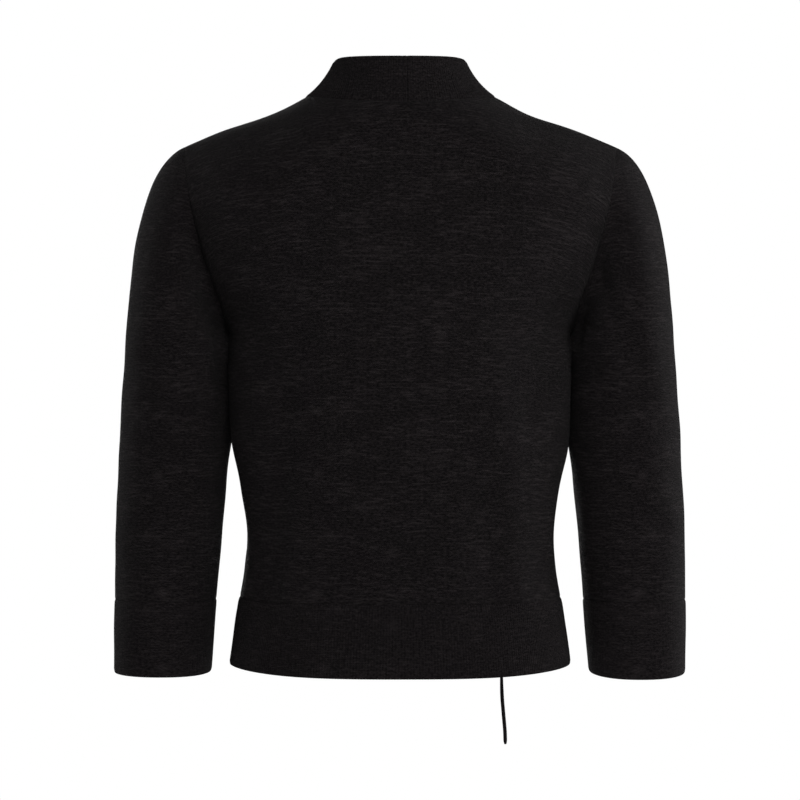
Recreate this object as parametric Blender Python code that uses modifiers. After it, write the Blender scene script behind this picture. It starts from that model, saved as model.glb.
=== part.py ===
"""A cropped cardigan in fine black knit, filled out as if worn, with nobody in it.

Metres, +Z up. The fronts face -Y and the wearer's left is +X. The origin is level with the high
points of the shoulders, in the middle of the neck opening, where a wearer carries the garment.
Every piece is cut from one outer form: the body's level sections, rolled over at the shoulders, and
the sleeves' level sections. A wall is that form with its thickness turned inwards.
"""

import math

import bmesh
import bpy
import numpy as np
from mathutils import Vector

# Driving sizes, in metres.
NECK_HALF = 0.083  # neck point of the shoulder, from the middle
SHOULDER_HALF = 0.187  # tip of the shoulder, from the middle
SHOULDER_DROP = 0.0437  # tip of the shoulder below its neck point
NAPE_DROP = 0.012  # neck seam at the centre back, below the neck points
UNDERARM_Z = -0.205
HEM_SEAM_Z = -0.435
HEM_Z = -0.495
HEM_RISE = 0.004  # how much higher the hem is at the side seams
CUFF_SEAM_Z = -0.439
CUFF_Z = -0.502
SLEEVE_HEAD_Z = -0.225  # the sleeve's sections are level from here down
COLLAR_WIDTH = 0.040  # the neck and front band, seam to free edge
PANEL_WALL = 0.0015
BAND_WALL = 0.0021
BAND_PROUD = 0.0004  # how far a band stands out from the panel it is sewn to
SEAM_GAP = 0.0003
TIE_DIAMETER = 0.003
CUTTER_SIZE = 1.6

# How the shoulders roll over, and how square the body's sections are.
RIDGE_ROLL = 0.065
RIDGE_SOFT = 0.030
NECK_HOLLOW = 0.0060
NECK_HOLLOW_X = 0.110
NECK_HOLLOW_WIDTH = 0.026
BODY_SQUARE = 2.4
SLEEVE_SQUARE = 2.2

# The left front lies over the right one: how far out, and how gently it climbs there.
LAP_LIFT = 0.0047
LAP_RUN = 0.045

# Grid sizes. The armhole has ARM_ROWS steps on each of its two sides, which the sleeve repeats.
ARM_ROWS = 12
LOWER_ROWS = 8
BACK_COLUMNS = 24
FRONT_COLUMNS = 12
BAND_ROWS = 3
HEM_ROWS = 3
CUFF_ROWS = 3
SLEEVE_ROWS = 8
NECK_COLUMNS = 6  # half of the back neck
EPS = 0.002  # step of a numeric slope

# The body's level sections: half width at the side seam, half depth behind and in front. Above the
# underarm the width is that of the form the armhole is cut from.
BODY = {
    "z": (0.040, -0.012, -0.060, -0.095, -0.130, -0.160, -0.185, -0.205, -0.235, -0.264,
          -0.285, -0.307, -0.340, -0.381, -0.410, -0.435, -0.465, -0.495),
    "wide": (0.215, 0.213, 0.206, 0.198, 0.186, 0.171, 0.1555, 0.1480, 0.1485, 0.1472,
             0.1465, 0.1448, 0.1385, 0.1330, 0.1355, 0.1395, 0.1440, 0.1480),
    "back": (0.080, 0.088, 0.098, 0.104, 0.107, 0.107, 0.106, 0.104, 0.100, 0.097,
             0.0945, 0.092, 0.089, 0.088, 0.092, 0.098, 0.105, 0.112),
    "front": (0.058, 0.064, 0.074, 0.090, 0.108, 0.121, 0.128, 0.132, 0.134, 0.131,
              0.127, 0.121, 0.112, 0.105, 0.106, 0.108, 0.110, 0.112),
}
# Where the armhole is cut, from the shoulder tip to the underarm.
ARMHOLE = {
    "z": (-0.0437, -0.080, -0.115, -0.150, -0.185, -0.205),
    "x": (0.187, 0.1815, 0.1745, 0.165, 0.1530, 0.148),
}
# The seam of the left front with its band, from the neck point to the hem.
FRONT_SEAM = {
    "z": (0.000, -0.020, -0.050, -0.100, -0.150, -0.200, -0.250, -0.300, -0.350, -0.400,
          -0.435, -0.465, -0.495),
    "x": (0.0830, 0.0815, 0.0775, 0.0685, 0.0575, 0.0435, 0.0275, 0.0095, -0.0105, -0.0325,
          -0.0455, -0.0500, -0.0520),
}
# The sleeve's level sections: outer and inner side, half depth, and its middle's place along Y.
SLEEVE = {
    "z": (-0.225, -0.264, -0.290, -0.307, -0.334, -0.378, -0.420, -0.464, -0.502),
    "outer": (0.2392, 0.2431, 0.2453, 0.2462, 0.2475, 0.2495, 0.2501, 0.2507, 0.2509),
    "inner": (0.1493, 0.1483, 0.1478, 0.1493, 0.1520, 0.1561, 0.1597, 0.1635, 0.1665),
    "deep": (0.0570, 0.0545, 0.0525, 0.0515, 0.0498, 0.0470, 0.0450, 0.0430, 0.0422),
    "y": (-0.004, -0.014, -0.019, -0.021, -0.022, -0.023, -0.025, -0.027, -0.028),
}
# How the sleeve leaves the armhole, by the angle round it from the shoulder tip: its direction out,
# across and up, how strongly it holds that direction, and how strongly it settles into hanging.
SLEEVE_HEAD = {
    "angle": (0, 45, 90, 135, 165, 180),
    "out": (0.92, 0.92, 0.94, 0.80, 0.60, 0.50),
    "across": (0.00, 0.05, 0.10, 0.10, 0.05, 0.00),
    "up": (-0.40, -0.38, -0.30, 0.20, 0.70, 0.85),
    "reach": (0.150, 0.095, 0.045, 0.025, 0.012, 0.008),
    "settle": (0.176, 0.140, 0.085, 0.050, 0.030, 0.026),
}
# Steps of the sleeve's head, as shares of the way from the armhole to the first level section.
HEAD_STEPS = (0.0, 0.05, 0.12, 0.21, 0.32, 0.45, 0.60, 0.78, 1.0)
# The largest folds. Each is a soft trough between two places, with its half width and its depth; a
# ridge has a depth below 0. On the body a place is X and Z, on a sleeve the angle round it and Z.
FOLDS = {
    "back": (
        {"from": (0.138, -0.196), "to": (0.100, -0.262), "wide": 0.013, "deep": 0.0030},
        {"from": (-0.140, -0.190), "to": (-0.112, -0.280), "wide": 0.014, "deep": 0.0034},
        {"from": (0.074, -0.330), "to": (0.082, -0.425), "wide": 0.016, "deep": 0.0024},
        {"from": (-0.066, -0.345), "to": (-0.078, -0.430), "wide": 0.015, "deep": 0.0020},
        {"from": (-0.030, -0.362), "to": (0.028, -0.374), "wide": 0.014, "deep": 0.0016},
    ),
    "front": (
        {"from": (0.118, -0.335), "to": (-0.010, -0.415), "wide": 0.013, "deep": 0.0022},
        {"from": (0.122, -0.385), "to": (0.010, -0.448), "wide": 0.011, "deep": 0.0016},
        {"from": (0.136, -0.215), "to": (0.085, -0.255), "wide": 0.014, "deep": 0.0026},
        {"from": (-0.134, -0.210), "to": (-0.092, -0.262), "wide": 0.013, "deep": 0.0024},
        {"from": (-0.120, -0.372), "to": (-0.078, -0.420), "wide": 0.012, "deep": 0.0018},
    ),
    "sleeve_left": (
        {"from": (128, -0.168), "to": (66, -0.222), "wide": 0.011, "deep": 0.0030},
        {"from": (140, -0.262), "to": (72, -0.308), "wide": 0.013, "deep": 0.0026},
        {"from": (300, -0.318), "to": (236, -0.338), "wide": 0.010, "deep": 0.0028},
        {"from": (292, -0.352), "to": (226, -0.344), "wide": 0.010, "deep": 0.0022},
        {"from": (104, -0.352), "to": (58, -0.392), "wide": 0.014, "deep": 0.0018},
    ),
    "sleeve_right": (
        {"from": (118, -0.150), "to": (84, -0.232), "wide": 0.011, "deep": 0.0036},
        {"from": (132, -0.240), "to": (58, -0.282), "wide": 0.014, "deep": 0.0022},
        {"from": (304, -0.308), "to": (242, -0.330), "wide": 0.011, "deep": 0.0026},
        {"from": (286, -0.350), "to": (230, -0.338), "wide": 0.010, "deep": 0.0024},
        {"from": (112, -0.330), "to": (64, -0.372), "wide": 0.013, "deep": 0.0020},
    ),
}
SLEEVE_ARC = 0.00083  # how far one degree round a sleeve reaches

# The standing band's lean from upright, in degrees, at its seam and its free edge.
NAPE_LEAN = (18, 6)
SIDE_LEAN = (57, 22)
BAND_TURN = 0.04  # the band's end turns upright over this height above the hem seam
# How far the band stands up instead of lying on the body, along the seam from the centre back.
COLLAR_STAND = {
    "z": (-0.120, -0.070, -0.030, 0.000),
    "share": (0.0, 0.25, 0.75, 1.0),
}

# The tie. A lead leaves the left band's free edge and another the right front's hem; they meet in the
# knot, beside the band's edge, and two tails hang from it.
KNOT = (-0.0938, -0.0985, -0.4585)
KNOT_HALF = (0.0042, 0.0036, 0.0042)
TIE_STEP = 1.5  # distance between the points of a cord, in diameters
TIE_ROUTES = {
    "tie_lead_left": ((-0.0873, -0.0965, -0.4453), (-0.0896, -0.0957, -0.4456),
                      (-0.0918, -0.0955, -0.4472), (-0.0932, -0.0967, -0.4500),
                      (-0.0937, -0.0981, -0.4540)),
    "tie_lead_right": ((-0.1126, -0.0781, -0.4539), (-0.1138, -0.0799, -0.4540),
                       (-0.1139, -0.0825, -0.4544), (-0.1125, -0.0852, -0.4550),
                       (-0.1095, -0.0880, -0.4558), (-0.1045, -0.0920, -0.4572),
                       (-0.0979, -0.0968, -0.4580)),
    "tie_tail_long": ((-0.0936, -0.0992, -0.4630), (-0.0935, -0.1000, -0.4665),
                      (-0.0932, -0.1013, -0.4740), (-0.0926, -0.1023, -0.4850),
                      (-0.0922, -0.1027, -0.4960), (-0.0922, -0.1028, -0.5120),
                      (-0.0927, -0.1028, -0.5320), (-0.0941, -0.1028, -0.5500),
                      (-0.0953, -0.1028, -0.5640), (-0.0957, -0.1028, -0.5763)),
    "tie_tail_short": ((-0.0965, -0.0990, -0.4621), (-0.0983, -0.0993, -0.4650),
                       (-0.1000, -0.0990, -0.4700), (-0.1010, -0.0983, -0.4775),
                       (-0.1014, -0.0978, -0.4860)),
}

COLOURS = {
    "knit": (0.0078, 0.0066, 0.0070),
    "rib": (0.0074, 0.0064, 0.0066),
    "tie": (0.0060, 0.0052, 0.0054),
}


def reader(table, key):
    """A smooth curve through a table's rows, for each of its other columns."""
    order = np.argsort(table[key])
    at = np.array(table[key], float)[order]
    columns = {}
    for name in table:
        if name == key:
            continue
        value = np.array(table[name], float)[order]
        slope = np.gradient(value, at)
        columns[name] = (value, slope)

    def read(name, place):
        value, slope = columns[name]
        place = min(max(place, at[0]), at[-1])
        i = min(int(np.searchsorted(at, place, side="right")) - 1, len(at) - 2)
        span = at[i + 1] - at[i]
        t = (place - at[i]) / span
        rise = value[i] * (1 + 2 * t) * (1 - t) ** 2 + value[i + 1] * t * t * (3 - 2 * t)
        return rise + span * (slope[i] * t * (1 - t) ** 2 - slope[i + 1] * t * t * (1 - t))

    return read


body = reader(BODY, "z")
armhole = reader(ARMHOLE, "z")
front_seam = reader(FRONT_SEAM, "z")
sleeve = reader(SLEEVE, "z")
sleeve_head = reader(SLEEVE_HEAD, "angle")
collar_stand = reader(COLLAR_STAND, "z")


def mix(a, b, share):
    return a + (b - a) * share


def ease(t):
    t = min(max(t, 0.0), 1.0)
    return t * t * (3 - 2 * t)


# ---------------------------------------------------------------- the outer form of the body


def soft_distance(x):
    return math.hypot(x, RIDGE_SOFT)


RIDGE_SLOPE = SHOULDER_DROP / (soft_distance(SHOULDER_HALF) - soft_distance(NECK_HALF))


def ridge(x):
    """Height of the shoulder line, carried on across the neck."""
    height = RIDGE_SLOPE * (soft_distance(NECK_HALF) - soft_distance(x))
    dip = math.exp(-(((abs(x) - NECK_HOLLOW_X) / NECK_HOLLOW_WIDTH) ** 2))
    edge = math.exp(-(((NECK_HALF - NECK_HOLLOW_X) / NECK_HOLLOW_WIDTH) ** 2))
    return height - NECK_HOLLOW * max(dip - edge, 0.0)


def lap(x, z):
    """How far the left front stands off the form, where the right one lies under it."""
    under_edge = -front_seam("x", z) + COLLAR_WIDTH
    return LAP_LIFT * ease((under_edge + LAP_RUN - x) / LAP_RUN)


def fold(folds, across, z, scale=1.0):
    """How far the folds draw the form inwards at a place."""
    total = 0.0
    for row in folds:
        start = np.array([row["from"][0] * scale, row["from"][1]])
        run = np.array([row["to"][0] * scale, row["to"][1]]) - start
        here = np.array([across * scale, z]) - start
        share = min(max(float(here @ run) / float(run @ run), 0.0), 1.0)
        away = here - run * share
        total += row["deep"] * math.exp(-float(away @ away) / row["wide"] ** 2)
    return total


def depth(x, z, side, way=1):
    """The form's Y at a place: behind (side "back") or in front. A piece that is made as a left one
    and then mirrored has way -1, so that it takes the folds of its own side."""
    over = max(1 - (abs(x) / body("wide", z)) ** BODY_SQUARE, 0.0) ** (1 / BODY_SQUARE)
    drop = min(max((ridge(x) - z) / RIDGE_ROLL, 0.0), 1.0)
    roll = math.sqrt(1 - (1 - drop) ** 2)
    return (body(side, z) - fold(FOLDS[side], x * way, z)) * over * roll


def on_back(x, z):
    return Vector((x, depth(x, z, "back"), z))


def on_front(x, z, over):
    """A place on the fronts' form. The left front, with over True, climbs over the right."""
    if over:
        return Vector((x, -depth(x, z, "front") - lap(x, z), z))
    return Vector((x, -depth(x, z, "front", -1), z))


def neck_x(share):
    return NECK_HALF * math.sin(math.pi / 2 * share)


def neck_z(x):
    return -NAPE_DROP * (1 - (x / NECK_HALF) ** 2)


def side_x(z):
    """Where a panel ends at the side: the armhole above the underarm, the side seam below."""
    return armhole("x", z) if z > UNDERARM_Z else body("wide", z)


def arm_share(row):
    """Share of the way down the armhole, with rows close together at its two ends."""
    return (1 - math.cos(math.pi * row / ARM_ROWS)) / 2


def row_height(top, row):
    """Height of a panel's row, for a column that starts at a given height."""
    if row <= ARM_ROWS:
        return mix(top, UNDERARM_Z, arm_share(row))
    return mix(UNDERARM_Z, HEM_SEAM_Z, (row - ARM_ROWS) / LOWER_ROWS)


def round_share(u):
    """Spreads a panel's columns so that they are close where it turns at the side."""
    return math.copysign(math.sin(math.pi / 2 * abs(u)), u)


# ---------------------------------------------------------------- the panels


def back_place(u, row):
    """The back panel: u runs from -1 to 1 between the sides, row from the top to the hem seam."""
    half = abs(u)
    if half <= 0.5:
        top_x = neck_x(2 * half)
        top_z = neck_z(top_x)
    else:
        top_x = mix(NECK_HALF, SHOULDER_HALF, 2 * half - 1)
        top_z = ridge(top_x)
    z = row_height(top_z, row)
    side = side_x(row_height(-SHOULDER_DROP, row))
    down = ease(arm_share(min(row, ARM_ROWS)))
    x = side * mix(top_x / SHOULDER_HALF, round_share(half), down)
    return on_back(math.copysign(x, u), z)


def front_place(u, row, over):
    """A front panel, as the left one: u is 0 at the band's seam and 1 at the side."""
    top_x = mix(NECK_HALF, SHOULDER_HALF, u)
    z = row_height(ridge(top_x), row)
    seam_z = row_height(0.0, row)
    side = side_x(row_height(-SHOULDER_DROP, row))
    down = ease(arm_share(min(row, ARM_ROWS)))
    share = mix(u, round_share(u), down)
    return on_front(mix(front_seam("x", seam_z), side, share), z, over)


def hem_height(share, v):
    """Height in the hem band, v 0 at its seam, for a share of the way out to the side seam."""
    return mix(HEM_SEAM_Z - SEAM_GAP, HEM_Z + HEM_RISE * share ** 4, v)


def hem_back_place(u, v):
    z = hem_height(round_share(abs(u)), v)
    return on_back(body("wide", z) * round_share(u), z)


def hem_front_place(u, v, over):
    z = hem_height(round_share(u), v)
    return on_front(mix(front_seam("x", z), body("wide", z), round_share(u)), z, over)


# ---------------------------------------------------------------- the sleeves and cuffs


def sleeve_section(angle, z, over):
    """A level section of a sleeve, as a left one: angle 0 is its outer side, 90 its back, 180 its
    inner side."""
    wide = (sleeve("outer", z) - sleeve("inner", z)) / 2
    middle = (sleeve("outer", z) + sleeve("inner", z)) / 2
    c, s = math.cos(math.radians(angle)), math.sin(math.radians(angle))
    power = 2 / SLEEVE_SQUARE
    drawn = sleeve_fold(angle, z, over)
    return Vector((
        middle + (wide - drawn) * math.copysign(abs(c) ** power, c),
        sleeve("y", z) + (sleeve("deep", z) - drawn) * math.copysign(abs(s) ** power, s),
        z,
    ))


def sleeve_fold(angle, z, over):
    return fold(FOLDS["sleeve_left" if over else "sleeve_right"], angle % 360, z, SLEEVE_ARC)


def armhole_place(angle, over):
    """The armhole's edge, by the angle round it: 0 at the shoulder tip, 90 behind, 180 below."""
    row = ARM_ROWS * (1 - abs(1 - (angle % 360) / 180))
    if angle % 360 <= 180:
        return back_place(1, row)
    return front_place(1, row, over)


def sleeve_place(angle, step, over):
    """The sleeve from the armhole (step 0) to its first level section (step 1)."""
    around = 180 * (1 - abs(1 - (angle % 360) / 180))
    side = 1 if angle % 360 <= 180 else -1
    away = Vector((
        sleeve_head("out", around),
        side * sleeve_head("across", around),
        sleeve_head("up", around),
    )).normalized()
    start = armhole_place(angle, over) + away * SEAM_GAP
    end = sleeve_section(angle, SLEEVE_HEAD_Z, over)
    reach, settle = sleeve_head("reach", around), sleeve_head("settle", around)
    t = step
    place = start * ((1 + 2 * t) * (1 - t) ** 2) + end * (t * t * (3 - 2 * t))
    place += away * (reach * t * (1 - t) ** 2)
    below = sleeve_section(angle, SLEEVE_HEAD_Z - EPS, over) - end
    place -= below * (settle / EPS * t * t * (1 - t))
    turn = math.radians(angle)
    drawn = sleeve_fold(angle, place.z, over) * ease(step / 0.2) * (1 - ease((step - 0.7) / 0.3))
    return place - Vector((math.cos(turn), math.sin(turn), 0)) * drawn


def whole_sleeve_place(angle, row, over):
    head = len(HEAD_STEPS) - 1
    if row <= head:
        low = int(min(row, head - 1))
        step = mix(HEAD_STEPS[low], HEAD_STEPS[low + 1], row - low)
        return sleeve_place(angle, step, over)
    z = mix(SLEEVE_HEAD_Z, CUFF_SEAM_Z, (row - head) / SLEEVE_ROWS)
    return sleeve_section(angle, z, over)


# ---------------------------------------------------------------- the neck and front band


def band_seam(station, over):
    """The band's seam, by the same stations as the panels' own edges: the back neck's columns,
    the front's rows, then the hem's rows."""
    if station <= NECK_COLUMNS:
        x = neck_x(station / NECK_COLUMNS)
        return on_back(x, neck_z(x))
    row = station - NECK_COLUMNS
    if row <= ARM_ROWS + LOWER_ROWS:
        return front_place(0, row, over)
    return hem_front_place(0, (row - ARM_ROWS - LOWER_ROWS) / HEM_ROWS, over)


def stand_place(station, across):
    """How the standing band rises from the neck seam: in over the neck at the sides, and less so
    behind, each time steeper towards its free edge."""
    t = min(station / NECK_COLUMNS, 1)
    seam = band_seam(t * NECK_COLUMNS, False)
    turn = math.pi / 2 * t
    root, tip = mix(NAPE_LEAN[0], SIDE_LEAN[0], ease(t)), mix(NAPE_LEAN[1], SIDE_LEAN[1], ease(t))
    lean = math.radians(mix(root, tip, across / COLLAR_WIDTH / 2))
    level = math.sin(lean) * across
    return seam + Vector((-level * math.sin(turn), -level * math.cos(turn),
                          math.cos(lean) * across))


def band_place(station, w, over):
    """A place on the left band, w 0 at its seam and 1 at its free edge."""
    across = mix(SEAM_GAP, COLLAR_WIDTH, w)
    if station <= NECK_COLUMNS:
        return stand_place(station, across)
    seam = band_seam(station, over)
    last = NECK_COLUMNS + ARM_ROWS + LOWER_ROWS + HEM_ROWS
    run = band_seam(min(station + 0.25, last), over) - band_seam(station - 0.25, over)
    level = Vector((run.x, 0, run.z)).normalized()
    upright = 1 - ease((HEM_SEAM_Z + BAND_TURN - seam.z) / BAND_TURN)
    lying = on_front(seam.x + level.z * across, seam.z - level.x * across * upright, over)
    stand = collar_stand("share", seam.z)
    rising = seam + (stand_place(NECK_COLUMNS, across) - band_seam(NECK_COLUMNS, over))
    return lying.lerp(rising, stand)


# ---------------------------------------------------------------- making the pieces


def clear_scene():
    for old in list(bpy.data.objects):
        bpy.data.objects.remove(old, do_unlink=True)


def knit_material(name, colour):
    material = bpy.data.materials.new(name)
    material.use_nodes = True
    shader = material.node_tree.nodes["Principled BSDF"]
    shader.inputs["Base Color"].default_value = (*colour, 1)
    shader.inputs["Roughness"].default_value = 0.95
    shader.inputs["Metallic"].default_value = 0.0
    return material


def grid(columns, rows, place, wrap=False):
    """A grid of faces whose corners are place(column, row). A wrapped one closes into a tube."""
    made = bmesh.new()
    bmesh.ops.create_grid(made, x_segments=columns, y_segments=rows, size=0.5)
    for vert in made.verts:
        column = round((vert.co.x + 0.5) * columns)
        row = round((vert.co.y + 0.5) * rows)
        vert.co = place(column % columns if wrap else column, row)
    if wrap:
        bmesh.ops.remove_doubles(made, verts=made.verts, dist=1e-6)
    return made


def mirrored(made):
    bmesh.ops.scale(made, verts=made.verts, vec=(-1, 1, 1))
    bmesh.ops.reverse_faces(made, faces=made.faces)


def outwards(made, inside):
    """Turns an open surface so that its faces look away from a place inside it."""
    made.normal_update()
    facing = sum(
        face.normal.dot(face.calc_center_median() - inside(face.calc_center_median()))
        * face.calc_area()
        for face in made.faces
    )
    if facing < 0:
        bmesh.ops.reverse_faces(made, faces=made.faces)


def in_body(place):
    return Vector((0, 0, min(place.z, -0.05) - 0.02))


def in_sleeve(place):
    z = min(place.z, SLEEVE_HEAD_Z)
    middle = (sleeve("outer", z) + sleeve("inner", z)) / 2
    return Vector((middle, sleeve("y", z), place.z - 0.02))


def half_space(name, way, collection):
    """A cutter that takes all on one side of the middle, and half a seam's gap past it."""
    made = bmesh.new()
    bmesh.ops.create_cube(made, size=CUTTER_SIZE)
    middle = Vector(way) * (CUTTER_SIZE / 2 - SEAM_GAP / 2)
    bmesh.ops.translate(made, verts=made.verts, vec=middle)
    return cutter_object(name, made, collection)


def cutter_object(name, made, collection):
    mesh = bpy.data.meshes.new(name)
    made.to_mesh(mesh)
    made.free()
    cutter = bpy.data.objects.new(name, mesh)
    cutter.hide_render = True
    cutter.display_type = "WIRE"
    collection.objects.link(cutter)
    return cutter


def neck_box(name, side, collection):
    """A cutter at the back neck, which takes what a band has past the centre back."""
    made = bmesh.new()
    bmesh.ops.create_cube(made, size=NECK_HALF)
    middle = Vector((side * (NECK_HALF - SEAM_GAP) / 2, NECK_HALF, 0))
    bmesh.ops.translate(made, verts=made.verts, vec=middle)
    return cutter_object(name, made, collection)


def cut_at_seam(shown, cutter):
    cut = shown.modifiers.new("seam", "BOOLEAN")
    cut.operation = "DIFFERENCE"
    cut.object = cutter


def piece(name, made, wall, material, collection):
    """A named object: the outer surface with its wall turned inwards."""
    mesh = bpy.data.meshes.new(name)
    made.to_mesh(mesh)
    made.free()
    mesh.shade_smooth()
    mesh.materials.append(material)
    shown = bpy.data.objects.new(name, mesh)
    collection.objects.link(shown)
    solid = shown.modifiers.new("wall", "SOLIDIFY")
    solid.thickness = wall
    solid.offset = -1
    solid.use_even_offset = True
    return shown


def proud(made, amount):
    """Moves a band's points out along their normals."""
    made.normal_update()
    moved = [(vert, vert.normal * amount) for vert in made.verts]
    for vert, step in moved:
        vert.co += step


def make_back(materials, collection, cutter):
    rows = ARM_ROWS + LOWER_ROWS
    made = grid(BACK_COLUMNS, rows, lambda c, r: back_place(2 * c / BACK_COLUMNS - 1, r))
    outwards(made, in_body)
    shown = piece("back", made, PANEL_WALL, materials["knit"], collection)
    cut_at_seam(shown, cutter)


def make_hem_back(materials, collection, cutter):
    made = grid(
        BACK_COLUMNS, HEM_ROWS,
        lambda c, r: hem_back_place(2 * c / BACK_COLUMNS - 1, r / HEM_ROWS),
    )
    outwards(made, in_body)
    proud(made, BAND_PROUD)
    shown = piece("hem_back", made, BAND_WALL, materials["rib"], collection)
    cut_at_seam(shown, cutter)


def make_front(name, over, materials, collection, cutter):
    rows = ARM_ROWS + LOWER_ROWS
    made = grid(FRONT_COLUMNS, rows, lambda c, r: front_place(c / FRONT_COLUMNS, r, over))
    outwards(made, in_body)
    if not over:
        mirrored(made)
    shown = piece(name, made, PANEL_WALL, materials["knit"], collection)
    cut_at_seam(shown, cutter)


def make_hem_front(name, over, materials, collection, cutter):
    made = grid(
        FRONT_COLUMNS, HEM_ROWS,
        lambda c, r: hem_front_place(c / FRONT_COLUMNS, r / HEM_ROWS, over),
    )
    outwards(made, in_body)
    proud(made, BAND_PROUD)
    if not over:
        mirrored(made)
    shown = piece(name, made, BAND_WALL, materials["rib"], collection)
    cut_at_seam(shown, cutter)


def make_sleeve(name, over, materials, collection):
    around = 2 * ARM_ROWS
    rows = len(HEAD_STEPS) - 1 + SLEEVE_ROWS
    made = grid(
        around, rows, lambda c, r: whole_sleeve_place(360 * c / around, r, over), wrap=True
    )
    outwards(made, in_sleeve)
    if not over:
        mirrored(made)
    piece(name, made, PANEL_WALL, materials["knit"], collection)


def make_cuff(name, over, materials, collection):
    around = 2 * ARM_ROWS
    made = grid(
        around, CUFF_ROWS,
        lambda c, r: sleeve_section(
            360 * c / around, mix(CUFF_SEAM_Z - SEAM_GAP, CUFF_Z, r / CUFF_ROWS), over
        ),
        wrap=True,
    )
    outwards(made, in_sleeve)
    proud(made, BAND_PROUD)
    if not over:
        mirrored(made)
    piece(name, made, BAND_WALL, materials["rib"], collection)


def make_band(name, over, materials, collection, cutter):
    stations = NECK_COLUMNS + ARM_ROWS + LOWER_ROWS + HEM_ROWS
    made = grid(stations, BAND_ROWS, lambda c, r: band_place(c, r / BAND_ROWS, over))
    outwards(made, in_body)
    proud(made, BAND_PROUD)
    if not over:
        mirrored(made)
    shown = piece(name, made, BAND_WALL, materials["rib"], collection)
    cut_at_seam(shown, cutter)


def make_cord(name, route, materials, collection):
    """A length of the tie: a tube along a smooth line through its route's points."""
    line = smooth_line([Vector(point) for point in route], TIE_STEP * TIE_DIAMETER)
    curve = bpy.data.curves.new(name, "CURVE")
    curve.dimensions = "3D"
    curve.bevel_depth = TIE_DIAMETER / 2
    curve.bevel_resolution = 2
    curve.use_fill_caps = True
    spline = curve.splines.new("POLY")
    spline.points.add(len(line) - 1)
    for point, place in zip(spline.points, line):
        point.co = (*place, 1)
    curve.materials.append(materials["tie"])
    collection.objects.link(bpy.data.objects.new(name, curve))


def smooth_line(points, step):
    """Evenly spaced points of a smooth curve through the given ones."""
    ends = [2 * points[0] - points[1]] + points + [2 * points[-1] - points[-2]]
    fine = []
    for a, b, c, d in zip(ends, ends[1:], ends[2:], ends[3:]):
        for i in range(12):
            t = i / 12
            fine.append(0.5 * (2 * b + (c - a) * t + (2 * a - 5 * b + 4 * c - d) * t * t
                               + (3 * b - a - 3 * c + d) * t ** 3))
    fine.append(points[-1])
    run = [0.0]
    for a, b in zip(fine, fine[1:]):
        run.append(run[-1] + (b - a).length)
    count = max(round(run[-1] / step), 2)
    line = []
    for i in range(count + 1):
        place = run[-1] * i / count
        at = next(k for k in range(1, len(run)) if run[k] >= place - 1e-9)
        share = (place - run[at - 1]) / (run[at] - run[at - 1])
        line.append(fine[at - 1].lerp(fine[at], share))
    return line


def make_knot(materials, collection):
    made = bmesh.new()
    bmesh.ops.create_uvsphere(made, u_segments=12, v_segments=8, radius=1)
    bmesh.ops.scale(made, verts=made.verts, vec=KNOT_HALF)
    bmesh.ops.translate(made, verts=made.verts, vec=KNOT)
    mesh = bpy.data.meshes.new("tie_knot")
    made.to_mesh(mesh)
    made.free()
    mesh.shade_smooth()
    mesh.materials.append(materials["tie"])
    collection.objects.link(bpy.data.objects.new("tie_knot", mesh))


def main():
    clear_scene()
    collection = bpy.data.collections.new("cropped_cardigan")
    cutters = bpy.data.collections.new("cutters")
    bpy.context.scene.collection.children.link(collection)
    bpy.context.scene.collection.children.link(cutters)
    ahead = half_space("ahead_of_side_seams", (0, -1, 0), cutters)
    behind = half_space("behind_side_seams", (0, 1, 0), cutters)
    past_centre = {
        "left": neck_box("right_of_centre_back", -1, cutters),
        "right": neck_box("left_of_centre_back", 1, cutters),
    }
    materials = {name: knit_material(name, colour) for name, colour in COLOURS.items()}
    make_back(materials, collection, ahead)
    make_hem_back(materials, collection, ahead)
    for side, over in (("left", True), ("right", False)):
        make_front(f"front_{side}", over, materials, collection, behind)
        make_hem_front(f"hem_{side}", over, materials, collection, behind)
        make_sleeve(f"sleeve_{side}", over, materials, collection)
        make_cuff(f"cuff_{side}", over, materials, collection)
        make_band(f"collar_{side}", over, materials, collection, past_centre[side])
    for name, route in TIE_ROUTES.items():
        make_cord(name, route, materials, collection)
    make_knot(materials, collection)


main()
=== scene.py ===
"""The looks of a cropped crossover cardigan in fine black knit, filled out with nobody in it.

Metres, +Z up, fronts facing -Y, the wearer's left at +X. Each shell lies on the form that its solid
was cut from, with a smoother shoulder line, and adds the finer creases, the ribs, the seams and the
cloth.
"""

import math

import bmesh
import bpy
import numpy as np
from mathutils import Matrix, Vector, noise


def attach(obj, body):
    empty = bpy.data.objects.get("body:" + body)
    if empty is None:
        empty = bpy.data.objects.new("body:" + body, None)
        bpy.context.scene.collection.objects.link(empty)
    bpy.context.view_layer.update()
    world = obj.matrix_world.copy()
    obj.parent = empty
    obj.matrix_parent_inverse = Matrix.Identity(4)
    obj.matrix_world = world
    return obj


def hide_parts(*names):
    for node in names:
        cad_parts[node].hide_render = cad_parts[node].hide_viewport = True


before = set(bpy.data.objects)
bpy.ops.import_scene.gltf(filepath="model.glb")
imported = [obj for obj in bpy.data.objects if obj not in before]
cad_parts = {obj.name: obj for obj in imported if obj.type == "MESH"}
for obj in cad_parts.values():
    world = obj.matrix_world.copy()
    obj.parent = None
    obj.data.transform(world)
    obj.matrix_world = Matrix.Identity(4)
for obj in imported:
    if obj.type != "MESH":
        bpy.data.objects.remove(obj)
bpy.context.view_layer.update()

# ---- sizes of the garment

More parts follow.
